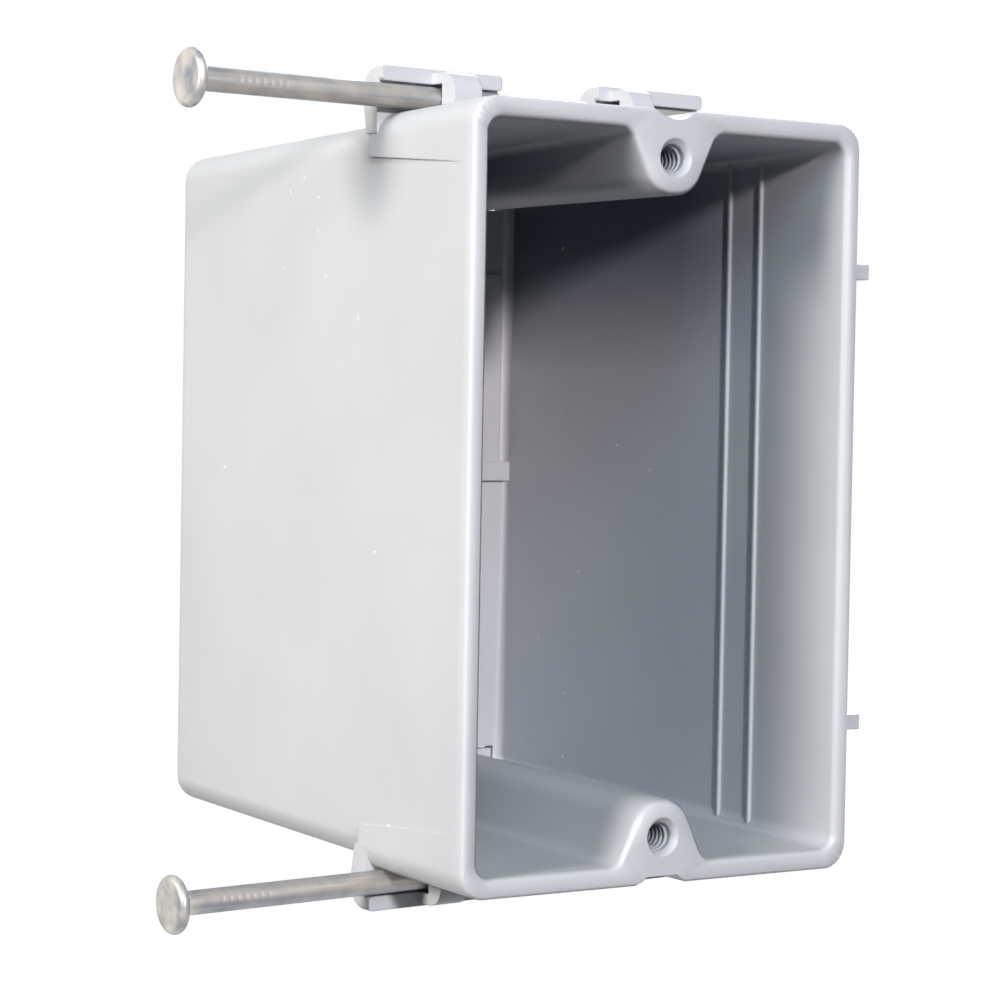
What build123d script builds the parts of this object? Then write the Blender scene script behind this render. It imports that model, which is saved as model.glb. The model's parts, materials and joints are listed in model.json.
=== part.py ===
from build123d import *
import os
from math import cos, radians, sin, tan

# Single-gang nail-on switch box: one grey moulding and the two nails that its brackets hold.
# The origin is midway between the two device screws, on the front plane of the rim.
# X runs to the right, towards the stud, Y runs back into the wall, and Z runs up. Millimetres.

# Moulded body
SCREW_SPACING = 83.34
RIM_BEYOND_SCREW = 5.83
RIM_WIDTH = 59.2
BOX_DEPTH = 75.5
CORNER_RADIUS = 3.3
BACK_RADIUS = 2.5
SIDE_DRAFT = 1.2
END_DRAFT = 1.9
SIDE_WALL = 2.4
END_WALL = 2.6
BACK_WALL = 2.0
INNER_CORNER_RADIUS = 1.8
INNER_BACK_BEVEL = 0.8
RIM_BEVEL = 0.4
MOUTH_BEVEL = 0.7

# Raised front part of the top and bottom walls, with pads that wrap onto the left side
PLATFORM_BEHIND_NAIL = 3.5
PLATFORM_STEP = 1.0
PAD_START = 2.0
PAD_FRONT_HEIGHT = 7.9
PAD_BACK_HEIGHT = 6.15

# Screw ridges
SCREW_HOLE_RADIUS = 1.75
SCREW_HOLE_DEPTH = 26.0
COUNTERSINK_RADIUS = 2.4
COUNTERSINK_DEPTH = 0.85
RIDGE_CREST = 6.2
RIDGE_DROP = 4.55
RIDGE_LEAN = 24.8
RIDGE_CREST_RADIUS = 4.2
RIDGE_FOOT_RADIUS = 2.0
UPPER_RIDGE_DRAFT = 0.2
LOWER_RIDGE_DRAFT = 1.5

# Notches in the rim over the screws
SCOOP_WIDTH = 6.3
SCOOP_DEEP = 1.2
NOTCH_MOUTH = 7.6
NOTCH_FLOOR = 4.6
NOTCH_DEEP = 1.0
NOTCH_RUN = 10.0

# Ribs on the inner walls
RIB_DEPTHS = (16.5, 22.8)
RIB_WIDTH = 1.0
RIB_CROWN = 0.45
RIB_HEIGHT = 0.45
BACK_RIB_Z = 1.2
BACK_RIB_WIDTH = 2.8
BACK_RIB_HEIGHT = 0.8
BACK_PANEL_MARGIN = 1.5
BACK_PANEL_TOP = 30.0
BACK_PANEL_HEIGHT = 0.4

# Cable flaps in the rear corners
FLAP_WIDTH = 15.0
FLAP_LENGTH = 15.0
FLAP_MARGIN = 1.6
FLAP_RISE = 3.2
FLAP_SLIT = 0.3

# Depth stops on the stud side
STOP_SPACING = 57.6
STOP_THICK = 1.9
STOP_PROUD = 1.65
STOP_LENGTH = 12.7

# Nails
NAIL_RADIUS = 1.475
NAIL_LENGTH = 82.6
NAIL_HEAD_RADIUS = 3.55
NAIL_HEAD_THICK = 1.3
NAIL_HEAD_EDGE = 0.55
NAIL_HEAD_DISH = 0.15
NAIL_NECK = 0.4
NAIL_POINT = 5.0
NAIL_TIP = 0.3
NAIL_DEPTH = 20.0
UPPER_NAIL_RISE = 1.15
UPPER_NAIL_TILT = 0.5
UPPER_HEAD_REACH = 27.45
LOWER_NAIL_RISE = 0.45
LOWER_NAIL_TILT = 1.2
LOWER_HEAD_REACH = 28.2
GRIP_COUNT = 7
GRIP_PITCH = 1.05
GRIP_START = 6.6
GRIP_WIDTH = 0.45
GRIP_DEEP = 0.14

# Nail brackets: distances from the nail's axis
CHANNEL_CLEARANCE = 0.05
GUIDE_CLEARANCE = 0.1
BAR_GAP = 0.42
BAR_THICK = 1.8
BAR_FRONT = 0.6
WEB_THICK = 3.8
WEB_ROOT_THICK = 2.8
WEB_RADIUS = 3.0
BAR_ROUNDING = 0.5
FINGER_THICK = 2.8
FINGER_RADIUS = 2.6
FINGER_STEP = 0.4
BRACKET_FOOT = 4.5
LEFT_BAR_LENGTH = 17.65
LEFT_FINGER_OFFSET = 7.3
LEFT_FINGER_WIDTH = 4.1
RIGHT_BAR_START = 32.55
RIGHT_BAR_LENGTH = 16.7
RIGHT_FINGER_OFFSET = 1.8
RIGHT_FINGER_WIDTH = 3.5

# Working allowances: overrun of a cut, distance that counts as touching, least share of depth in the
# direction of a lengthwise edge, and largest share of a bracket's rise that its curl takes
OVERCUT = 1.0
TOUCH = 0.001
LENGTHWISE = 0.5
CURL_LIMIT = 0.82

RIM_HEIGHT = SCREW_SPACING + 2 * RIM_BEYOND_SCREW
PLATFORM_DEPTH = NAIL_DEPTH + PLATFORM_BEHIND_NAIL
INNER_DEPTH = BOX_DEPTH - BACK_WALL


def side_x(y):
    """Outer face of a side wall at depth y."""
    return RIM_WIDTH / 2 - y * tan(radians(SIDE_DRAFT))


def end_z(y):
    """Outer face of the raised front part of the top wall at depth y."""
    return RIM_HEIGHT / 2 - y * tan(radians(END_DRAFT))


def inner_x(y):
    """Inner face of a side wall at depth y."""
    return side_x(y) - SIDE_WALL


def inner_z(y):
    """Inner face of the top wall at depth y."""
    return end_z(y) - END_WALL


def drafted_block(plan, side):
    """Solid with a given outline in plan, as (X, Y) points, and from the side, as (Y, Z) points."""
    from_above = extrude(Polygon(*plan, align=None), RIM_HEIGHT, both=True)
    from_side = extrude(Plane.YZ * Polygon(*side, align=None), RIM_WIDTH, both=True)
    return from_above & from_side


def long_edges(solid):
    """Edges that run from the front of a drafted solid to its back."""
    return solid.edges().filter_by(lambda e: abs(e.tangent_at(0).Y) > LENGTHWISE)


def outer_block(depth, step):
    """Outer form from the rim to a depth, with rounded long edges and the step off its top and bottom."""
    plan = [(side_x(0), 0), (side_x(depth), depth), (-side_x(depth), depth), (-side_x(0), 0)]
    front_z = end_z(0) - step
    back_z = end_z(depth) - step
    block = drafted_block(plan, [(0, front_z), (depth, back_z), (depth, -back_z), (0, -front_z)])
    return fillet(long_edges(block), CORNER_RADIUS)


def outer_form():
    """Drafted outer block with rounded back edges, and the raised front part on it."""
    block = outer_block(BOX_DEPTH, PLATFORM_STEP)
    block = fillet(block.edges().group_by(Axis.Y)[-1], BACK_RADIUS)
    return block + outer_block(PLATFORM_DEPTH, 0)


def left_pads():
    """Corner pads on the left side, flush at the front and standing proud at the back."""
    front = PAD_START
    back = PLATFORM_DEPTH
    plan = [(0, front), (-side_x(front), front), (-RIM_WIDTH / 2, back), (0, back)]
    side = [(front, end_z(front)), (back, end_z(back)), (back, -end_z(back)), (front, -end_z(front))]
    collar = drafted_block(plan, side)
    collar = fillet(long_edges(collar).filter_by(lambda e: e.center().X < -TOUCH), CORNER_RADIUS)
    top = RIM_HEIGHT / 2
    window = Polygon(
        (front, top - PAD_FRONT_HEIGHT),
        (back, top - PAD_BACK_HEIGHT),
        (back, top),
        (front, top),
        align=None,
    )
    upper = collar & extrude(Plane.YZ * window, RIM_WIDTH, both=True)
    return [upper, mirror(upper, about=Plane.XY)]


def ridge_foot():
    """Half width of a screw ridge where its leaning flanks meet the wall at the rim."""
    rise = RIM_BEYOND_SCREW - END_WALL + RIDGE_DROP
    return RIDGE_CREST / 2 + rise * tan(radians(RIDGE_LEAN))


def screw_ridges():
    """Two ridges that carry the device screws, running the whole depth of the hollow."""
    outline = Polygon(
        (-ridge_foot(), inner_z(0)),
        (-RIDGE_CREST / 2, SCREW_SPACING / 2 - RIDGE_DROP),
        (RIDGE_CREST / 2, SCREW_SPACING / 2 - RIDGE_DROP),
        (ridge_foot(), inner_z(0)),
        align=None,
    )
    ridges = []
    for draft in (radians(UPPER_RIDGE_DRAFT), radians(LOWER_RIDGE_DRAFT)):
        run = BOX_DEPTH / cos(draft)
        ridges.append(extrude(Plane.XZ * outline, run, dir=(0, cos(draft), -sin(draft))))
    return [ridges[0], mirror(ridges[1], about=Plane.XY)]


def cavity():
    """Drafted hollow of the box, open at the front, with the screw ridges left standing."""
    deep_x = inner_x(INNER_DEPTH)
    plan = [(inner_x(0), 0), (deep_x, INNER_DEPTH), (-deep_x, INNER_DEPTH), (-inner_x(0), 0)]
    deep_z = inner_z(INNER_DEPTH)
    side = [(0, inner_z(0)), (INNER_DEPTH, deep_z), (INNER_DEPTH, -deep_z), (0, -inner_z(0))]
    hollow = drafted_block(plan, side)
    hollow = fillet(long_edges(hollow), INNER_CORNER_RADIUS) - screw_ridges()
    crest = RIDGE_CREST / 2 + TOUCH
    foot = ridge_foot() + TOUCH
    feet = long_edges(hollow).filter_by(lambda e: crest < abs(e.center().X) < foot)
    hollow = fillet(feet, RIDGE_FOOT_RADIUS)
    crests = long_edges(hollow).filter_by(lambda e: abs(e.center().X) < crest)
    hollow = fillet(crests, RIDGE_CREST_RADIUS)
    return chamfer(hollow.edges().group_by(Axis.Y)[-1], INNER_BACK_BEVEL)


def front_face(shell):
    """Flat front face of the rim."""
    return shell.faces().sort_by(Axis.Y)[0]


def screw_bores():
    """Blind bore and countersink for each device screw."""
    profile = Polyline(
        (0, -OVERCUT),
        (COUNTERSINK_RADIUS, -OVERCUT),
        (COUNTERSINK_RADIUS, 0),
        (SCREW_HOLE_RADIUS, COUNTERSINK_DEPTH),
        (SCREW_HOLE_RADIUS, SCREW_HOLE_DEPTH),
        (0, SCREW_HOLE_DEPTH),
        close=True,
    )
    bore = revolve(make_face(profile), Axis.Y)
    return [Pos(0, 0, sign * SCREW_SPACING / 2) * bore for sign in (1, -1)]


def rim_notches():
    """Round scoop in the top of the rim and flat notch in the bottom of it."""
    scoop_radius = (SCOOP_WIDTH**2 / 4 + SCOOP_DEEP**2) / (2 * SCOOP_DEEP)
    scoop = Pos(0, RIM_HEIGHT / 2 - SCOOP_DEEP + scoop_radius) * Circle(scoop_radius)
    low = -RIM_HEIGHT / 2
    flare = (NOTCH_MOUTH - NOTCH_FLOOR) / 2 * OVERCUT / NOTCH_DEEP
    notch = Polygon(
        (-NOTCH_MOUTH / 2 - flare, low - OVERCUT),
        (NOTCH_MOUTH / 2 + flare, low - OVERCUT),
        (NOTCH_FLOOR / 2, low + NOTCH_DEEP),
        (-NOTCH_FLOOR / 2, low + NOTCH_DEEP),
        align=None,
    )
    front = Plane.XZ.offset(OVERCUT)
    return [extrude(front * shape, -NOTCH_RUN - OVERCUT) for shape in (scoop, notch)]


def side_ribs():
    """Upright ribs on the inner faces of both side walls."""
    ribs = []
    for y in RIB_DEPTHS:
        for sign in (1, -1):
            foot = sign * (inner_x(y) + SIDE_WALL / 2)
            crown = sign * (inner_x(y) - RIB_HEIGHT)
            profile = Polygon(
                (foot, y - RIB_WIDTH / 2),
                (crown, y - RIB_CROWN / 2),
                (crown, y + RIB_CROWN / 2),
                (foot, y + RIB_WIDTH / 2),
                align=None,
            )
            ribs.append(extrude(profile, inner_z(y) + END_WALL / 2, both=True))
    return ribs


def back_ribs():
    """Cross rib and raised panel on the inner face of the back wall."""
    sunk = BACK_WALL / 2
    half_width = inner_x(INNER_DEPTH)
    rib = Box(2 * half_width + SIDE_WALL, BACK_RIB_HEIGHT + sunk, BACK_RIB_WIDTH)
    rib = Pos(0, INNER_DEPTH + (sunk - BACK_RIB_HEIGHT) / 2, BACK_RIB_Z) * rib
    panel_height = BACK_PANEL_TOP - BACK_RIB_Z
    panel = Box(2 * (half_width - BACK_PANEL_MARGIN), BACK_PANEL_HEIGHT + sunk, panel_height)
    panel = Pos(0, INNER_DEPTH + (sunk - BACK_PANEL_HEIGHT) / 2, BACK_RIB_Z + panel_height / 2) * panel
    return [rib, panel]


def flap_slits():
    """Slits that free a cable flap in each rear corner of the top and bottom walls."""
    outer = inner_x(BOX_DEPTH) - FLAP_MARGIN
    low = inner_z(INNER_DEPTH) - FLAP_RISE
    tall = RIM_HEIGHT / 2 - low
    run = FLAP_LENGTH + OVERCUT
    slits = []
    for side in (1, -1):
        for end in (1, -1):
            for x in (outer, outer - FLAP_WIDTH):
                cut = Box(FLAP_SLIT, run, tall)
                slits.append(Pos(side * x, BOX_DEPTH + OVERCUT - run / 2, end * (low + tall / 2)) * cut)
            middle = side * (outer - FLAP_WIDTH / 2)
            cut = Box(FLAP_WIDTH, BACK_WALL + 2 * OVERCUT, FLAP_SLIT)
            slits.append(Pos(middle, BOX_DEPTH - BACK_WALL / 2, end * (low + FLAP_SLIT / 2)) * cut)
    return slits


def depth_stops():
    """Short ribs on the stud side that meet the front of the stud."""
    sunk = SIDE_WALL / 2
    stop = Box(STOP_PROUD + sunk, STOP_LENGTH, STOP_THICK)
    x = RIM_WIDTH / 2 + (STOP_PROUD - sunk) / 2
    return [Pos(x, STOP_LENGTH / 2, sign * STOP_SPACING / 2) * stop for sign in (1, -1)]


def nail_plane(rise, tilt):
    """Frame of an upper nail: X along its axis from the left face of the box, Z away from the box."""
    angle = radians(tilt)
    return Plane(
        origin=(-RIM_WIDTH / 2, NAIL_DEPTH, RIM_HEIGHT / 2 + rise),
        x_dir=(cos(angle), 0, -sin(angle)),
        z_dir=(sin(angle), 0, cos(angle)),
    )


def bracket_hook(length):
    """Rear web that grows from the wall and curls into a bar over the nail."""
    guide = NAIL_RADIUS + GUIDE_CLEARANCE
    under = NAIL_RADIUS + BAR_GAP
    back = guide + WEB_THICK
    outline = Polygon(
        (guide, -BRACKET_FOOT),
        (guide + WEB_ROOT_THICK, -BRACKET_FOOT),
        (back, 0),
        (back, under + BAR_THICK),
        (BAR_FRONT, under + BAR_THICK),
        (BAR_FRONT, under),
        (guide, under),
        align=None,
    )
    curl = outline.vertices().filter_by(lambda v: v.X > back - TOUCH)
    outline = fillet(curl, min(WEB_RADIUS, CURL_LIMIT * (under + BAR_THICK)))
    hook = extrude(Plane.YZ * outline, length)
    bar_ends = hook.edges().filter_by(Axis.Y).filter_by(lambda e: e.center().Z > NAIL_RADIUS)
    return fillet(bar_ends, BAR_ROUNDING)


def bracket_finger(width):
    """Finger that comes forward from the bar and down in front of the nail."""
    guide = NAIL_RADIUS + GUIDE_CLEARANCE
    under = NAIL_RADIUS + BAR_GAP
    top = under + BAR_THICK - FINGER_STEP
    front = -guide - FINGER_THICK
    outline = Polygon(
        (guide, top),
        (front, top),
        (front, -BRACKET_FOOT),
        (-guide, -BRACKET_FOOT),
        (-guide, under),
        (guide, under),
        align=None,
    )
    corner = outline.vertices().filter_by(lambda v: v.X < -guide and v.Y > under)
    return extrude(Plane.YZ * fillet(corner, FINGER_RADIUS), width)


def nail_brackets(plane):
    """Left and right brackets of an upper nail."""
    left = bracket_hook(LEFT_BAR_LENGTH)
    left += Pos(LEFT_FINGER_OFFSET, 0, 0) * bracket_finger(LEFT_FINGER_WIDTH)
    right = bracket_hook(RIGHT_BAR_LENGTH)
    right += Pos(RIGHT_FINGER_OFFSET, 0, 0) * bracket_finger(RIGHT_FINGER_WIDTH)
    return [plane.location * left, plane.location * Pos(RIGHT_BAR_START, 0, 0) * right]


def nail_channel(plane):
    """Clear passage for an upper nail over its whole travel."""
    passage = Circle(NAIL_RADIUS + CHANNEL_CLEARANCE)
    return plane.location * extrude(Plane.YZ * passage, 2 * NAIL_LENGTH, both=True)


def nail(plane, head_reach):
    """Wire nail with a dished head, grip marks and a four-sided point."""
    point = NAIL_LENGTH - NAIL_POINT
    outline = Polyline(
        (0, 0),
        (0, NAIL_HEAD_RADIUS),
        (NAIL_HEAD_THICK, NAIL_HEAD_RADIUS),
        (NAIL_HEAD_THICK + NAIL_NECK, NAIL_RADIUS),
        (point, NAIL_RADIUS),
        (point, 0),
        close=True,
    )
    profile = make_face(outline)
    edges = profile.vertices().filter_by(lambda v: v.Y > NAIL_HEAD_RADIUS - TOUCH)
    shank = revolve(chamfer(edges, NAIL_HEAD_EDGE), Axis.X)
    crown = NAIL_HEAD_RADIUS - NAIL_HEAD_EDGE
    dish_radius = (crown**2 + NAIL_HEAD_DISH**2) / (2 * NAIL_HEAD_DISH)
    shank -= Pos(NAIL_HEAD_DISH - dish_radius, 0, 0) * Sphere(dish_radius)

    square = Plane.YZ.offset(point) * Rectangle(2 * NAIL_RADIUS, 2 * NAIL_RADIUS)
    tip = Plane.YZ.offset(NAIL_LENGTH) * Rectangle(NAIL_TIP, NAIL_TIP)
    wire = Plane.YZ.offset(point) * Circle(NAIL_RADIUS)
    shank += loft([square, tip]) & extrude(wire, NAIL_POINT)

    flare = GRIP_WIDTH / 2 * (GRIP_DEEP + OVERCUT) / GRIP_DEEP
    for number in range(GRIP_COUNT):
        x = GRIP_START + number * GRIP_PITCH
        for side in (1, -1):
            floor = side * (NAIL_RADIUS - GRIP_DEEP)
            brow = side * (NAIL_RADIUS + OVERCUT)
            mark = Polygon((x, floor), (x - flare, brow), (x + flare, brow), align=None)
            shank -= extrude(mark, NAIL_RADIUS, both=True)
    return plane.location * Pos(-head_reach, 0, 0) * shank


def box_body():
    """The whole moulding."""
    hollow = cavity()
    shell = outer_form() - hollow
    shell = chamfer(front_face(shell).inner_wires()[0].edges(), MOUTH_BEVEL)
    shell = chamfer(front_face(shell).outer_wire().edges(), RIM_BEVEL)
    shell += left_pads() + depth_stops() + nail_brackets(UPPER_PLANE)
    shell += [mirror(piece, about=Plane.XY) for piece in nail_brackets(LOWER_PLANE)]
    shell -= [hollow, nail_channel(UPPER_PLANE), mirror(nail_channel(LOWER_PLANE), about=Plane.XY)]
    shell += side_ribs() + back_ribs()
    shell -= screw_bores() + rim_notches() + flap_slits()
    return shell


UPPER_PLANE = nail_plane(UPPER_NAIL_RISE, UPPER_NAIL_TILT)
LOWER_PLANE = nail_plane(LOWER_NAIL_RISE, LOWER_NAIL_TILT)

os.makedirs("parts", exist_ok=True)
export_step(box_body(), "parts/box_body.step")
export_step(nail(UPPER_PLANE, UPPER_HEAD_REACH), "parts/upper_nail.step")
export_step(mirror(nail(LOWER_PLANE, LOWER_HEAD_REACH), about=Plane.XY), "parts/lower_nail.step")
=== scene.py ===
# %% [markdown]
# # A grey switch box and its two nails
# This lesson dresses a nail-on wiring box. The walls, the screw ridges, the brackets and the nails come
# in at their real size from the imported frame, and nothing here moves them. What is left to do is the work
# of the eye: the soft edges and the cloudy grey of a plastic moulding, the threads inside the screw
# holes, and the dull bright steel of two wire nails.

# %% Load the frame
import json
import math

import bpy
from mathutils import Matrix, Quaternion, Vector


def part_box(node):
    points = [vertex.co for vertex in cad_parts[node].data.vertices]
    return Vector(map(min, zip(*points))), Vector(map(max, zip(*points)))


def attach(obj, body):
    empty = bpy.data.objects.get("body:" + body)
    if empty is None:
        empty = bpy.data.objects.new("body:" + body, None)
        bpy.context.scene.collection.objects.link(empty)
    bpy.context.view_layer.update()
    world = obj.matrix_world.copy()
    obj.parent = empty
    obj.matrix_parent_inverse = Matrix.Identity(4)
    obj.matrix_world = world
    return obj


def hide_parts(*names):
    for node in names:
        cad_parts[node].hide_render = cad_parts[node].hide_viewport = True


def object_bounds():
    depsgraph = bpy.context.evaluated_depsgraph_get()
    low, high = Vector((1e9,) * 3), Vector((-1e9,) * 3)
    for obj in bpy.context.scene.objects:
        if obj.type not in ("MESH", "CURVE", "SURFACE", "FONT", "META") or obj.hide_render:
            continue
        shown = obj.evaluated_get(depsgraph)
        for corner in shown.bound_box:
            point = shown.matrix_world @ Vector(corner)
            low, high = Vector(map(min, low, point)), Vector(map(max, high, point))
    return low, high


MM = 0.001

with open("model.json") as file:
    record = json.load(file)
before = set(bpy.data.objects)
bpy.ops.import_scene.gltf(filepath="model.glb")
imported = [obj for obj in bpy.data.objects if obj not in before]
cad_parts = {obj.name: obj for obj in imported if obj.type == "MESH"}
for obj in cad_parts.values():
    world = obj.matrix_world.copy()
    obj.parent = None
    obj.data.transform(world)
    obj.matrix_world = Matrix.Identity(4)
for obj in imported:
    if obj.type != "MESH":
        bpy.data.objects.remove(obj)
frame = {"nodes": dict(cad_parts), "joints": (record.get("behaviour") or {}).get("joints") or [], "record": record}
cad_low, cad_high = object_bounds()
box_body = frame["nodes"]["box_body"]
print("nodes:", sorted(frame["nodes"]), "box in mm:", [round(s / MM, 1) for s in cad_high - cad_low])

# %% [markdown]
# ## The camera
# The photograph was taken from the left, almost level with the box, with a long lens. A camera could be
# turned by hand until the view looks right. Here it is solved from the straight edges of the box instead,
# so its place, its three turns and its lens are known, and the rim, the ridges and the nails fall where
# the photograph has them.

# %% Camera
CAMERA_PLACE = Vector((-227.42, -298.77, 12.12)) * MM
CAMERA_AZIMUTH = -34.108
CAMERA_ELEVATION = 1.933
CAMERA_ROLL = 1.015
CAMERA_LENS = 110.18
SENSOR_WIDTH = 36.0


def toward(azimuth, elevation):
    """Direction from the box to a viewer or a lamp. Azimuth 0 is straight in front, and left is negative."""
    turn = math.radians(azimuth)
    lift = math.radians(elevation)
    return Vector((math.sin(turn) * math.cos(lift), -math.cos(turn) * math.cos(lift), math.sin(lift)))


def put_in_scene(name, data):
    """A new object in the scene for a camera, lamp or mesh."""
    thing = bpy.data.objects.new(name, data)
    bpy.context.scene.collection.objects.link(thing)
    return thing


def aim(thing, azimuth, elevation, roll=0.0):
    """Turn a camera or lamp so that it looks at the box from that direction."""
    level = (-toward(azimuth, elevation)).to_track_quat("-Z", "Y")
    thing.rotation_mode = "QUATERNION"
    thing.rotation_quaternion = level @ Quaternion((0, 0, 1), math.radians(roll))


lens = bpy.data.cameras.new("photo_camera")
lens.sensor_width = SENSOR_WIDTH
lens.lens = CAMERA_LENS
camera = put_in_scene("photo_camera", lens)
camera.location = CAMERA_PLACE
aim(camera, CAMERA_AZIMUTH, CAMERA_ELEVATION, CAMERA_ROLL)
bpy.context.scene.camera = camera
bpy.context.scene.view_settings.view_transform = "Standard"
print("camera at", [round(c / MM) for c in camera.location], "mm, lens", CAMERA_LENS, "mm")

# %% [markdown]
# ## Nodes in a few words
# Every finish below is a small tree of nodes. Writing each node out by hand would take a page, so a few
# helpers do it. One adds a node with its settings and wires what feeds it, and one starts a material with
# its shader. The others are the small steps that every finish needs: a number stretched from one range to
# another, clouds of noise, arithmetic, and a colour between two others.

# %% Node helpers


def add_node(tree, kind, feeds=None, **settings):
    """A node with its settings, and its inputs set to a value or wired to another node's socket."""
    node = tree.nodes.new(kind)
    for name, value in settings.items():
        setattr(node, name, value)
    for name, value in (feeds or {}).items():
        if isinstance(value, bpy.types.NodeSocket):
            tree.links.new(value, node.inputs[name])
        else:
            node.inputs[name].default_value = value
    return node


def start_material(name):
    """A new material with one Principled shader: the material, its tree, and the shader."""
    material = bpy.data.materials.new(name)
    material.use_nodes = True
    tree = material.node_tree
    tree.nodes.clear()
    shader = add_node(tree, "ShaderNodeBsdfPrincipled")
    add_node(tree, "ShaderNodeOutputMaterial", {"Surface": shader.outputs["BSDF"]})
    return material, tree, shader


def spread(tree, value, low, high, to_low=0.0, to_high=1.0):
    """Stretch a number from one range to another, held at both ends."""
    feeds = {"Value": value, "From Min": low, "From Max": high, "To Min": to_low, "To Max": to_high}
    return add_node(tree, "ShaderNodeMapRange", feeds).outputs["Result"]


def noise(tree, place, scale, detail=2.0, roughness=0.5):
    """A cloudy number from 0 to 1 with that many clouds to the metre."""
    feeds = {"Vector": place, "Scale": scale, "Detail": detail, "Roughness": roughness}
    return add_node(tree, "ShaderNodeTexNoise", feeds).outputs["Fac"]


def combine(tree, operation, first, second):
    """Arithmetic on two numbers or sockets."""
    node = add_node(tree, "ShaderNodeMath", operation=operation)
    for socket, value in zip(node.inputs, (first, second)):
        if isinstance(value, bpy.types.NodeSocket):
            tree.links.new(value, socket)
        else:
            socket.default_value = value
    return node.outputs["Value"]


def tint(tree, share, first, second):
    """A colour between two others, by a share from 0 to 1."""
    node = add_node(tree, "ShaderNodeMix", data_type="RGBA")
    for name, value in (("Factor", share), ("A", first), ("B", second)):
        socket = next(s for s in node.inputs if s.name == name and s.type != "VECTOR" and s.enabled)
        if isinstance(value, bpy.types.NodeSocket):
            tree.links.new(value, socket)
        else:
            socket.default_value = value
    return next(s for s in node.outputs if s.enabled)


print("node helpers ready")

# %% [markdown]
# ## Grey moulding plastic
# The box is rigid grey vinyl, moulded in one shot. Close up it isn't one grey: the pigment drifts in wide
# faint clouds, the skin has a fine grain from the tool, a few dust specks cling to it, and handling
# leaves short pale scuffs. A plain grey would look like a drawing. Clouds, grain and specks come from
# noise in the box's own millimetres, so they keep their size on every wall.

# %% Plastic colours
PLASTIC = (0.490, 0.500, 0.517, 1)
PLASTIC_DARK = (0.458, 0.470, 0.490, 1)
DUST = (0.74, 0.74, 0.73, 1)
SPECK = (0.36, 0.37, 0.38, 1)
# bluish black that shade is painted towards inside the hollow
SHADE = (0.0, 0.03, 0.07, 1)
CLOUDS_PER_METRE = 38.0
WEAR_PER_METRE = 114.0
GRAIN_PER_METRE = 2600.0
DUST_PER_METRE = 190.0
SPECKS_PER_METRE = 210.0
print("plastic grey:", PLASTIC[:3], "and", PLASTIC_DARK[:3])

# %% [markdown]
# ## Dust and scuffs
# Dust and specks lie about at random. A random grid gives each of its cells one round fleck, and only a
# share of the cells keeps it. A scuff is a short scratch at one place, so each has a row in a list. The
# left wall leans inwards with the mould's draft, and the scuffs follow that lean.

# %% Dust and scuffs
SIDE_TAPER = math.tan(math.radians(1.2))
WALL_REACH = 1.5 * MM
FLECK_CORE = 0.6
FLECK_STEP = 0.01
SCUFF_FADE = (1.35, 1.0)
left_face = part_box("box_body")[0].x

# Scuffs on the left wall: depth and height of the middle, half length and half width in millimetres, and
# slope in degrees
SCUFFS = (
    (44.0, 38.0, 0.5, 0.2, 60.0),
    (40.5, 39.7, 0.4, 0.18, 75.0),
    (36.7, 37.0, 0.4, 0.2, -40.0),
    (36.7, 32.7, 0.5, 0.18, 80.0),
    (45.4, 28.2, 0.45, 0.22, 45.0),
    (34.6, 26.9, 0.6, 0.2, 80.0),
    (26.2, 21.6, 0.6, 0.2, 80.0),
    (61.1, 2.1, 0.45, 0.3, 20.0),
    (21.3, -7.3, 0.45, 0.25, -40.0),
    (16.9, -40.5, 0.5, 0.25, 10.0),
)


def flecks(tree, place, per_metre, share, size):
    """Mask of small round flecks: a share of the cells of a random grid hold one."""
    cells = add_node(tree, "ShaderNodeTexVoronoi", {"Vector": place, "Scale": per_metre})
    fleck = spread(tree, cells.outputs["Distance"], size, FLECK_CORE * size)
    chance = add_node(tree, "ShaderNodeSeparateColor", {"Color": cells.outputs["Color"]})
    held = spread(tree, chance.outputs["Red"], 1 - share - FLECK_STEP, 1 - share)
    return combine(tree, "MULTIPLY", fleck, held)


def scuff(tree, place, raggedness, depth, height, length, width, slope):
    """Mask of one thin scuff on the left wall, with ragged ends."""
    local = add_node(tree, "ShaderNodeMapping", {"Vector": place}, vector_type="TEXTURE")
    face = left_face + depth * MM * SIDE_TAPER
    local.inputs["Location"].default_value = (face, depth * MM, height * MM)
    local.inputs["Rotation"].default_value = (math.radians(slope), 0, 0)
    local.inputs["Scale"].default_value = (WALL_REACH, length * MM, width * MM)
    reach = add_node(tree, "ShaderNodeVectorMath", {0: local.outputs["Vector"]}, operation="LENGTH")
    ragged = combine(tree, "ADD", reach.outputs["Value"], raggedness)
    return spread(tree, ragged, *SCUFF_FADE)


print("scuffs on the left wall:", len(SCUFFS))
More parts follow.
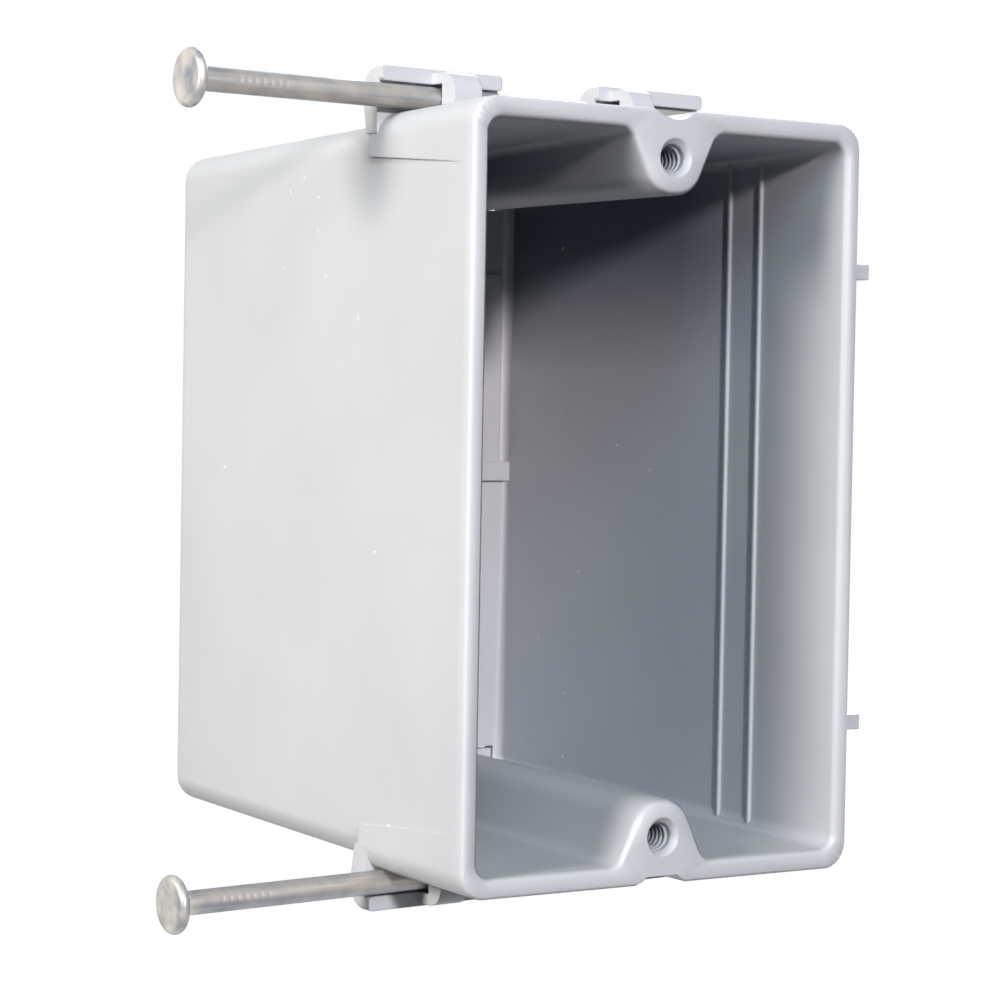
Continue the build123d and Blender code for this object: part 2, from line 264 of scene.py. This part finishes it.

# %% [markdown]
# ## The painted shade of the hollow
# The photograph's shadows are deeper than plain light on one grey gives. Weaker lamps would darken the
# whole box, so shade is painted into the grey inside the hollow, towards a bluish black: a little on the
# walls, more under the roof, and in the bores. The crests of the screw ridges get less of this painted
# shade and stay lighter, as they are in the photograph.

# %% Shade of the hollow
END_TAPER = math.tan(math.radians(1.9))
HOLLOW_HALF_WIDTH = 27.6 * MM
HOLLOW_HALF_HEIGHT = 45.3 * MM
HOLLOW_FRONT = 2.0 * MM
HOLLOW_DEEP = 34.0 * MM
HOLLOW_BACK = 72.5 * MM
ROOF_FROM = 11.0 * MM
ROOF_TO = 34.0 * MM
CREST_FROM = 2.0 * MM
CREST_TO = 5.0 * MM
WALL_SHADE = 0.16
ROOF_SHADE = 0.74
screws = next(m for m in frame["record"]["mounts"] if m["name"] == "device_screws")
SCREW_SPACING = screws["dims"]["spacing_y_mm"]
BORE_RADIUS = screws["dims"]["hole_r_mm"]
BORE_REACH = (BORE_RADIUS + 0.1) * MM
BORE_FROM = 1.0 * MM
BORE_DEEP = 4.5 * MM
BORE_END = 27.0 * MM
BORE_SHADE = 0.66


def in_hollow(tree, place):
    """1 on the walls inside the hollow, and 0 at its mouth, on its back and outside."""
    parts = add_node(tree, "ShaderNodeSeparateXYZ", {0: place})
    depth = parts.outputs["Y"]
    inside = combine(tree, "MULTIPLY", combine(tree, "GREATER_THAN", depth, HOLLOW_FRONT),
                     combine(tree, "LESS_THAN", depth, HOLLOW_BACK))
    for axis, taper, limit in (("X", SIDE_TAPER, HOLLOW_HALF_WIDTH), ("Z", END_TAPER, HOLLOW_HALF_HEIGHT)):
        narrowing = combine(tree, "MULTIPLY", depth, taper)
        reach = combine(tree, "ADD", combine(tree, "ABSOLUTE", parts.outputs[axis], 0.0), narrowing)
        inside = combine(tree, "MULTIPLY", inside, combine(tree, "LESS_THAN", reach, limit))
    return inside


def screw_distance(tree, place):
    """Distance of a point from the nearer screw's axis."""
    parts = add_node(tree, "ShaderNodeSeparateXYZ", {0: place})
    height = combine(tree, "ABSOLUTE", parts.outputs["Z"], 0.0)
    rise = combine(tree, "SUBTRACT", height, SCREW_SPACING / 2 * MM)
    across = combine(tree, "POWER", parts.outputs["X"], 2.0)
    squares = combine(tree, "ADD", combine(tree, "POWER", rise, 2.0), across)
    return combine(tree, "SQRT", squares, 0.0)


def shadiness(tree, place):
    """How much shade is painted in: a little on the hollow's walls, more under its roof and in the bores."""
    parts = add_node(tree, "ShaderNodeSeparateXYZ", {0: place})
    depth = parts.outputs["Y"]
    beside = combine(tree, "ABSOLUTE", parts.outputs["X"], 0.0)
    height = spread(tree, parts.outputs["Z"], ROOF_FROM, ROOF_TO)
    roof = combine(tree, "MULTIPLY", height, spread(tree, beside, CREST_FROM, CREST_TO, 0.0, ROOF_SHADE))
    deep = spread(tree, depth, HOLLOW_FRONT, HOLLOW_DEEP)
    walls = combine(tree, "MULTIPLY", deep, combine(tree, "MAXIMUM", roof, WALL_SHADE))
    bored = combine(tree, "LESS_THAN", screw_distance(tree, place), BORE_REACH)
    bored = combine(tree, "MULTIPLY", bored, combine(tree, "LESS_THAN", depth, BORE_END))
    bores = combine(tree, "MULTIPLY", bored, spread(tree, depth, BORE_FROM, BORE_DEEP, 0.0, BORE_SHADE))
    return combine(tree, "MAXIMUM", combine(tree, "MULTIPLY", walls, in_hollow(tree, place)), bores)


print("screws", SCREW_SPACING, "mm apart, bores of", 2 * BORE_RADIUS, "mm")

# %% [markdown]
# ## The plastic put together
# One colour is laid over the other by masks: clouds first, then grain, specks, shade, and dust with
# scuffs on top. The gloss is a soft one that wears unevenly, and scuffed places are duller. A bump gives
# the grain a little height, and a bevel node lets the light roll over the small radii that a mould's
# edges have.

# %% Plastic material
CLOUD_RANGE = (0.35, 0.65)
NOISE_RANGE = (0.3, 0.7)
GRAIN_TINT = 0.12
SPECK_SHARE = 0.5
SPECK_SIZE = 0.035
SPECK_TINT = 0.35
DUST_SHARE = 0.8
DUST_SIZE = 0.05
DUST_TINT = 0.7
PLASTIC_ROUGHNESS = (0.36, 0.46)
SCUFF_ROUGHNESS = 0.2
PLASTIC_IOR = 1.52
EDGE_ROUNDING = 0.28 * MM
GRAIN_STRENGTH = 0.12
GRAIN_HEIGHT = 0.02 * MM


def grey_plastic():
    """Cloudy grey vinyl with a fine grain, dust, specks and scuffs."""
    material, tree, shader = start_material("grey_plastic_moulding")
    place = add_node(tree, "ShaderNodeTexCoord").outputs["Object"]
    clouds = spread(tree, noise(tree, place, CLOUDS_PER_METRE, 4.0, 0.6), *CLOUD_RANGE)
    grain = noise(tree, place, GRAIN_PER_METRE, 3.0)
    colour = tint(tree, clouds, PLASTIC_DARK, PLASTIC)
    colour = tint(tree, spread(tree, grain, *NOISE_RANGE, 0.0, GRAIN_TINT), colour, PLASTIC_DARK)
    specks = flecks(tree, place, SPECKS_PER_METRE, SPECK_SHARE, SPECK_SIZE)
    colour = tint(tree, combine(tree, "MULTIPLY", specks, SPECK_TINT), colour, SPECK)
    # painted shade inside the hollow, deepest under the roof and in the bores
    colour = tint(tree, shadiness(tree, place), colour, SHADE)
    dust = flecks(tree, place, DUST_PER_METRE, DUST_SHARE, DUST_SIZE)
    scuffs = combine(tree, "MULTIPLY", dust, in_hollow(tree, place))
    for marks in SCUFFS:
        scuffs = combine(tree, "MAXIMUM", scuffs, scuff(tree, place, grain, *marks))
    colour = tint(tree, combine(tree, "MULTIPLY", scuffs, DUST_TINT), colour, DUST)
    tree.links.new(colour, shader.inputs["Base Color"])

    worn = noise(tree, place, WEAR_PER_METRE, 5.0, 0.65)
    gloss = spread(tree, worn, *NOISE_RANGE, *PLASTIC_ROUGHNESS)
    dulled = combine(tree, "ADD", gloss, combine(tree, "MULTIPLY", scuffs, SCUFF_ROUGHNESS))
    tree.links.new(dulled, shader.inputs["Roughness"])
    shader.inputs["IOR"].default_value = PLASTIC_IOR

    edges = add_node(tree, "ShaderNodeBevel", {"Radius": EDGE_ROUNDING}, samples=4)
    skin = {"Height": grain, "Strength": GRAIN_STRENGTH, "Distance": GRAIN_HEIGHT,
            "Normal": edges.outputs["Normal"]}
    bump = add_node(tree, "ShaderNodeBump", skin)
    tree.links.new(bump.outputs["Normal"], shader.inputs["Normal"])
    return material


PLASTIC_FINISH = grey_plastic()
print("plastic:", len(PLASTIC_FINISH.node_tree.nodes), "nodes")

# %% [markdown]
# ## The moulding's soft edges
# The walls arrive as flat facets that don't share their corners. Real mould edges are never quite sharp,
# and the small bevels on the rim and the brackets read as rounds. The mesh of the frame stays as it is,
# so the joining and shading happen in modifiers: a node group merges the corners and keeps only steep
# edges sharp, and a weighted normal lets the big flat walls stay flat while the bevels between them shade
# like rounds.

# %% Dress the box
SHARP_ANGLE = math.radians(52.0)
FUNNEL_ANGLE = math.radians(20.0)
FUNNEL_RADIUS = 2.45 * MM
MERGE_WITHIN = 0.002 * MM


def soft_shading():
    """Node group that joins loose facets and shades all but the steep edges smooth."""
    group = bpy.data.node_groups.new("soft_shading", "GeometryNodeTree")
    group.interface.new_socket("Geometry", in_out="INPUT", socket_type="NodeSocketGeometry")
    group.interface.new_socket("Geometry", in_out="OUTPUT", socket_type="NodeSocketGeometry")
    shape = add_node(group, "NodeGroupInput").outputs["Geometry"]
    shape = add_node(group, "GeometryNodeRemoveAttribute", {"Geometry": shape, "Name": "custom_normal"})
    shape = add_node(group, "GeometryNodeMergeByDistance", {0: shape.outputs[0], "Distance": MERGE_WITHIN})
    shape = add_node(group, "GeometryNodeSetShadeSmooth", {0: shape.outputs[0]}, domain="FACE")
    angle = add_node(group, "GeometryNodeInputMeshEdgeAngle").outputs["Unsigned Angle"]
    place = add_node(group, "GeometryNodeInputPosition").outputs["Position"]
    away = screw_distance(group, place)
    limit = spread(group, away, FUNNEL_RADIUS, FUNNEL_RADIUS + MERGE_WITHIN, FUNNEL_ANGLE, SHARP_ANGLE)
    steep = add_node(group, "FunctionNodeCompare", {0: angle, 1: limit}, operation="GREATER_THAN").outputs[0]
    sharp = {0: shape.outputs[0], "Selection": steep, "Shade Smooth": False}
    shape = add_node(group, "GeometryNodeSetShadeSmooth", sharp, domain="EDGE")
    add_node(group, "NodeGroupOutput", {"Geometry": shape.outputs[0]})
    return group


def dress(thing, finish):
    """Give an object one finish in place of what it came with."""
    thing.data.materials.clear()
    thing.data.materials.append(finish)


box_body.modifiers.new("soft_shading", "NODES").node_group = soft_shading()
weighted = box_body.modifiers.new("flat_walls", "WEIGHTED_NORMAL")
weighted.keep_sharp = True
dress(box_body, PLASTIC_FINISH)
print("box dressed:", len(box_body.data.polygons), "facets under", len(box_body.modifiers), "modifiers")

# %% [markdown]
# ## Threads in the screw holes
# The bores are smooth in the frame, at the size of the screw's outer thread. The real holes show the
# turns of a formed thread, dark and bright in the low light. A bump map would vanish edge on, so the
# thread is a real ridge: a small wedge carried round and round along the bore, with its foot sunk in the
# wall.

# %% Screw threads
THREAD_PITCH = 25.4 / 32
THREAD_HEIGHT = 0.22
THREAD_FOOT = 0.05
THREAD_CREST = 0.2
THREAD_HALF_FOOT = 0.42 * THREAD_PITCH
THREAD_SMOOTH = 35
THREAD_END = 0.05
THREAD_START = 1.0
THREAD_TURNS = 14
STEPS_PER_TURN = 40


def mesh_object(name, points, faces, finish, smooth_angle=None):
    """A mesh piece from points in millimetres."""
    mesh = bpy.data.meshes.new(name)
    mesh.from_pydata([Vector(p) * MM for p in points], [], faces)
    mesh.validate()
    mesh.update()
    if smooth_angle is not None:
        mesh.shade_smooth()
        mesh.set_sharp_from_angle(angle=math.radians(smooth_angle))
    piece = put_in_scene(name, mesh)
    dress(piece, finish)
    return piece


def thread_ridge(name, height):
    """Helical ridge inside the bore at that height, with closed ends that run out into the wall."""
    foot = BORE_RADIUS + THREAD_FOOT
    crest = BORE_RADIUS - THREAD_HEIGHT
    wedge = (
        (foot, -THREAD_HALF_FOOT),
        (crest, -THREAD_CREST / 2),
        (crest, THREAD_CREST / 2),
        (foot, THREAD_HALF_FOOT),
    )
    steps = THREAD_TURNS * STEPS_PER_TURN
    points = []
    for step in range(steps + 1):
        turn = step / STEPS_PER_TURN
        angle = 2 * math.pi * turn
        rise = max(THREAD_END, min(1.0, turn, THREAD_TURNS - turn))
        for radius, along in wedge:
            reach = foot + (radius - foot) * rise
            depth = THREAD_START + turn * THREAD_PITCH + along
            points.append((reach * math.cos(angle), depth, height + reach * math.sin(angle)))
    corners = len(wedge)
    faces = []
    for step in range(steps):
        for k in range(corners):
            near = step * corners
            far = near + corners
            beside = (k + 1) % corners
            faces.append((near + k, far + k, far + beside, near + beside))
    faces.append(tuple(range(corners)))
    faces.append(tuple(steps * corners + k for k in reversed(range(corners))))
    return mesh_object(name, points, faces, PLASTIC_FINISH, smooth_angle=THREAD_SMOOTH)


for side, sign in (("upper", 1), ("lower", -1)):
    ridge = thread_ridge(side + "_screw_thread", sign * SCREW_SPACING / 2)
    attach(ridge, "box")
    print(ridge.name, len(ridge.data.polygons), "faces")

# %% [markdown]
# ## Drawn steel
# The nails are bright wire, drawn through a die and left bare. The drawing leaves fine streaks along the
# wire, the air dulls it to a warm grey, and the heading blow leaves the head mottled. A perfect mirror
# would look like chrome, so only part of the light is reflected as from metal, and the streaks and the
# mottling drive colour and roughness.

# %% Steel material
STEEL_WARM = (0.39, 0.357, 0.318, 1)
STEEL_COOL = (0.27, 0.275, 0.29, 1)
STEEL_BLUE = (0.28, 0.29, 0.31, 1)
STEEL_PALE = (0.70, 0.64, 0.56, 1)
STEEL_EDGE = (0.72, 0.85, 1.0, 1)
STREAKS_PER_METRE = 2400.0
STREAK_LENGTH = 40.0
BANDS_PER_METRE = 620.0
MOTTLE_PER_METRE = 330.0
MOTTLE_RANGE = (0.34, 0.66)
STREAK_RANGE = (0.5, 0.75)
STREAK_TINT = 0.2
HEAD_END = cad_low.x + 2.2 * MM
HEAD_FADE = 2.0 * MM
EVENNESS = (0.1, 0.75)
STEEL_METALLIC = 0.72
STEEL_ROUGHNESS = (0.30, 0.46)
STREAK_ROUGHNESS = 0.06
MOTTLE_RISE = 1.5
STEEL_BUMP = 0.25
STEEL_BUMP_HEIGHT = 0.03 * MM


def nail_steel():
    """Dull drawn steel with streaks along the wire and mottled patches."""
    material, tree, shader = start_material("drawn_nail_steel")
    place = add_node(tree, "ShaderNodeTexCoord").outputs["Object"]
    along = add_node(tree, "ShaderNodeMapping", {"Vector": place})
    along.inputs["Scale"].default_value = (1 / STREAK_LENGTH, 1, 1)
    streaks = noise(tree, along.outputs["Vector"], STREAKS_PER_METRE, 3.0)
    mottle = noise(tree, place, MOTTLE_PER_METRE, 3.0, 0.5)
    colour = tint(tree, spread(tree, mottle, *MOTTLE_RANGE), STEEL_PALE, STEEL_BLUE)
    along_nail = add_node(tree, "ShaderNodeSeparateXYZ", {0: place}).outputs["X"]
    evenness = spread(tree, along_nail, HEAD_END, HEAD_END + HEAD_FADE, *EVENNESS)
    bands = spread(tree, noise(tree, along.outputs["Vector"], BANDS_PER_METRE, 1.0), *CLOUD_RANGE)
    wire = tint(tree, bands, STEEL_WARM, STEEL_COOL)
    colour = tint(tree, evenness, colour, wire)
    colour = tint(tree, spread(tree, streaks, *STREAK_RANGE, 0.0, STREAK_TINT), colour, STEEL_PALE)
    tree.links.new(colour, shader.inputs["Base Color"])
    shader.inputs["Metallic"].default_value = STEEL_METALLIC
    shader.inputs["Specular Tint"].default_value = STEEL_EDGE
    patches = spread(tree, mottle, *NOISE_RANGE, *STEEL_ROUGHNESS)
    scratches = spread(tree, streaks, *NOISE_RANGE, 0.0, STREAK_ROUGHNESS)
    tree.links.new(combine(tree, "ADD", patches, scratches), shader.inputs["Roughness"])
    height = combine(tree, "ADD", streaks, combine(tree, "MULTIPLY", mottle, MOTTLE_RISE))
    skin = {"Height": height, "Strength": STEEL_BUMP, "Distance": STEEL_BUMP_HEIGHT}
    bump = add_node(tree, "ShaderNodeBump", skin)
    tree.links.new(bump.outputs["Normal"], shader.inputs["Normal"])
    return material


STEEL_FINISH = nail_steel()
print("steel:", len(STEEL_FINISH.node_tree.nodes), "nodes")

# %% [markdown]
# ## The nails
# A wire nail is a piece of wire with one end upset into a head and the other pinched into a four-sided
# point. The jaws that hold the wire during the blow bite a row of marks into two sides of it. One radius
# says it all: for each place along the nail and each direction round it, how far out the steel reaches.
# The wire is round, the marks and the point bite into it, and the head is a rounded rim. The length, the
# lean and the head come from the frame.

# %% Nail forms
WIRE_RADIUS = 1.475
HEAD_THICK = 1.3
HEAD_ROUND = 0.58
HEAD_DISH = 0.15
NECK_RUN = 0.4
POINT_RUN = 5.0
POINT_TIP = 0.15
GRIP_COUNT = 7
GRIP_PITCH = 1.05
GRIP_START = 6.6
GRIP_HALF = 0.35
GRIP_DEEP = 0.032
GRIP_SPREAD = math.radians(38)
AROUND = 72
FACE_RINGS = 10
RIM_RINGS = 12
NECK_RINGS = 8
PLAIN_RINGS = 6
MARK_RINGS = 3
SHANK_RINGS = 40
POINT_RINGS = 60
NAIL_SMOOTH = 28


def head_profile(radius):
    """Places along the nail and radii, from the middle of the dished face to the neck."""
    crown = radius - HEAD_ROUND
    shares = [k / FACE_RINGS for k in range(1, FACE_RINGS + 1)]
    face = [(HEAD_DISH * (1 - share ** 2), crown * share) for share in shares]
    middle = HEAD_THICK / 2
    rim = []
    for k in range(1, RIM_RINGS + 1):
        angle = math.pi * k / RIM_RINGS
        rim.append((middle - middle * math.cos(angle), crown + HEAD_ROUND * math.sin(angle)))
    neck = []
    for k in range(1, NECK_RINGS + 1):
        angle = math.pi / 2 * k / NECK_RINGS
        fall = (crown - WIRE_RADIUS) * math.sin(angle)
        neck.append((HEAD_THICK + NECK_RUN * (1 - math.cos(angle)), crown - fall))
    return face + rim + neck


def wire_places(length):
    """Places along the wire: close together over the grip marks and the point, far apart elsewhere."""
    first = GRIP_START - GRIP_HALF
    marks = []
    for number in range(GRIP_COUNT):
        for k in range(-MARK_RINGS, MARK_RINGS + 1):
            marks.append(GRIP_START + number * GRIP_PITCH + k * GRIP_HALF / MARK_RINGS)
    shank_start = HEAD_THICK + NECK_RUN
    plain = [shank_start + (first - shank_start) * k / PLAIN_RINGS for k in range(1, PLAIN_RINGS)]
    point = length - POINT_RUN
    after = marks[-1]
    shank = [after + (point - after) * k / SHANK_RINGS for k in range(1, SHANK_RINGS)]
    taper = [point + POINT_RUN * k / POINT_RINGS for k in range(POINT_RINGS + 1)]
    return plain + marks + shank + taper


def wire_radius(place, angle, length):
    """Radius of the wire at a place and an angle, where the marks and the point cut flats into it."""
    radius = WIRE_RADIUS
    number = min(max(round((place - GRIP_START) / GRIP_PITCH), 0), GRIP_COUNT - 1)
    off = abs(place - GRIP_START - number * GRIP_PITCH)
    round_off = math.acos(abs(math.cos(angle)))
    if off < GRIP_HALF and round_off < GRIP_SPREAD:
        along = 0.5 + 0.5 * math.cos(math.pi * off / GRIP_HALF)
        radius -= GRIP_DEEP * along * (1 - (round_off / GRIP_SPREAD) ** 2)
    share = (place - length + POINT_RUN) / POINT_RUN
    if share > 0:
        flat = WIRE_RADIUS + (POINT_TIP - WIRE_RADIUS) * share
        radius = min(radius, flat / max(abs(math.cos(angle)), abs(math.sin(angle))))
    return radius


print("nail rings:", FACE_RINGS + RIM_RINGS + NECK_RINGS, "on the head,", POINT_RINGS, "on the point")

# %% Nail meshes


def nail_mesh(name, start, axis, length, head_radius):
    """Nail from its head's face at start, along axis."""
    outward = Vector((0, -1, 0))
    upward = axis.cross(outward)
    angles = [2 * math.pi * k / AROUND for k in range(AROUND)]
    rings = [(place, [radius] * AROUND) for place, radius in head_profile(head_radius)]
    for place in wire_places(length):
        rings.append((place, [wire_radius(place, angle, length) for angle in angles]))
    points = [start + axis * HEAD_DISH]
    for place, radii in rings:
        for angle, radius in zip(angles, radii):
            spoke = outward * math.cos(angle) + upward * math.sin(angle)
            points.append(start + axis * place + spoke * radius)
    points.append(start + axis * length)
    last = len(points) - 1
    faces = []
    for k in range(AROUND):
        beside = (k + 1) % AROUND
        faces.append((0, 1 + beside, 1 + k))
        for ring in range(len(rings) - 1):
            near = 1 + ring * AROUND
            far = near + AROUND
            faces.append((near + k, near + beside, far + beside, far + k))
        tip = last - AROUND
        faces.append((tip + k, tip + beside, last))
    return mesh_object(name, points, faces, STEEL_FINISH, smooth_angle=NAIL_SMOOTH)


def make_nail(node):
    """Detailed nail in the place of the frame's plain one."""
    low, high = (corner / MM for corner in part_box(node))
    slide = next(j for j in frame["joints"] if j["child"] == node)
    axis = Vector(slide["axis"]).normalized()
    head_radius = (high.y - low.y) / 2
    rim = head_radius * abs(axis.z)
    length = (high.x - low.x - rim - POINT_TIP * abs(axis.z)) / axis.x
    reach = head_radius * axis.x
    height = high.z - reach if axis.z < 0 else low.z + reach
    start = Vector((low.x + rim, (low.y + high.y) / 2, height))
    piece = nail_mesh(node + "_steel", start, axis, length, head_radius)
    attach(piece, node)
    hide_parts(node)
    print(piece.name, "length", round(length, 2), "mm,", len(piece.data.polygons), "faces")


for node in ("upper_nail", "lower_nail"):
    make_nail(node)

# %% [markdown]
# ## The floor and the white ground
# The photograph is cut out on white, with no floor in sight. The floor lies well below the box, out of
# that view. The floor and the sky behind it look pale or white to the camera and in reflections, but they
# light the box only faintly, so the hollow keeps its dark corners. The floor is matt and can take a
# shadow, but its glow hides the one that the box casts.

# %% Floor and sky
FLOOR_DROP = 260.0
FLOOR_SIZE = 8.0
FLOOR_COLOUR = (0.86, 0.86, 0.86, 1)
FLOOR_ROUGHNESS = 0.9
NEAR_GLOW = 0.7
NEAR_REACH = 0.6
FAR_REACH = 1.2
SKY_LIGHT = 0.02
WHITE = (1, 1, 1, 1)


def shows_white(tree):
    """1 for rays that come from the camera, a reflection or a clear body, and 0 for the rest."""
    path = add_node(tree, "ShaderNodeLightPath")
    seen = combine(tree, "MAXIMUM", path.outputs["Is Camera Ray"], path.outputs["Is Glossy Ray"])
    return combine(tree, "MAXIMUM", seen, path.outputs["Is Transmission Ray"])


def pale_floor():
    """Matt pale floor that glows to the camera: pale near the box and white far from it."""
    material, tree, shader = start_material("pale_floor")
    shader.inputs["Base Color"].default_value = FLOOR_COLOUR
    shader.inputs["Roughness"].default_value = FLOOR_ROUGHNESS
    shader.inputs["Specular IOR Level"].default_value = 0.0
    shader.inputs["Emission Color"].default_value = WHITE
    place = add_node(tree, "ShaderNodeTexCoord").outputs["Object"]
    away = add_node(tree, "ShaderNodeVectorMath", {0: place}, operation="LENGTH").outputs["Value"]
    glow = spread(tree, away, NEAR_REACH, FAR_REACH, NEAR_GLOW, 1.0)
    tree.links.new(combine(tree, "MULTIPLY", shows_white(tree), glow), shader.inputs["Emission Strength"])
    return material


half = FLOOR_SIZE / MM / 2
corners = [(-half, -half, 0), (half, -half, 0), (half, half, 0), (-half, half, 0)]
floor = mesh_object("floor", corners, [(0, 1, 2, 3)], pale_floor())
floor.location.z = cad_low.z - FLOOR_DROP * MM

sky = bpy.data.worlds.new("white_sky")
bpy.context.scene.world = sky
sky.use_nodes = True
sky.node_tree.nodes.clear()
strength = spread(sky.node_tree, shows_white(sky.node_tree), 0.0, 1.0, SKY_LIGHT, 1.0)
ground = add_node(sky.node_tree, "ShaderNodeBackground", {"Color": WHITE, "Strength": strength})
add_node(sky.node_tree, "ShaderNodeOutputWorld", {"Surface": ground.outputs["Background"]})
print("floor at", round(floor.location.z / MM, 1), "mm")

# %% [markdown]
# ## The lamps
# Two shadows in the photograph tell where the lamps stood. The upper nail's head throws a soft round
# shadow on the left wall, so a warm lamp stands far to the left and a little above. The roof's edge
# throws a slanting shadow on the inner right wall, so a smaller lamp stands in front, above the lens. The
# shadows inside are bluish and not black, so a wide cool lamp fills them from higher up. A fourth lamp,
# behind the box, isn't taken from the photograph: it gives the back and the stud side some light in other
# views, and it changes the photograph's own view a little. All are area lamps with a hood that narrows
# their beams, and their size sets how soft the shadows are.

# %% Lamps
LAMP_SPREAD = math.radians(50)
LAMPS = {
    "left_window": {"azimuth": -82.0, "elevation": 21.0, "distance": 0.6, "size": 0.21, "watts": 0.41,
                    "colour": (1.0, 0.95, 0.89)},
    "front_lamp": {"azimuth": -13.0, "elevation": 16.8, "distance": 1.0, "size": 0.09, "watts": 0.64,
                   "colour": (1.0, 0.915, 0.925)},
    "high_softbox": {"azimuth": -30.0, "elevation": 35.0, "distance": 1.0, "size": 0.40, "watts": 0.33,
                     "colour": (0.50, 0.82, 1.0)},
    "back_fill": {"azimuth": 135.0, "elevation": 22.0, "distance": 1.0, "size": 0.40, "watts": 0.85,
                  "colour": (0.96, 0.98, 1.0)},
}


def soft_lamp(name, azimuth, elevation, distance, size, watts, colour):
    """Round area lamp that faces the box from a direction, with a hood that narrows its beam."""
    data = bpy.data.lights.new(name, "AREA")
    data.shape = "DISK"
    data.size = size
    data.spread = LAMP_SPREAD
    data.energy = watts
    data.color = colour
    lamp = put_in_scene(name, data)
    lamp.location = (cad_low + cad_high) / 2 + toward(azimuth, elevation) * distance
    aim(lamp, azimuth, elevation)
    return lamp


for name, settings in LAMPS.items():
    lamp = soft_lamp(name, **settings)
    print(name, "at", [round(c, 2) for c in lamp.location], "m")
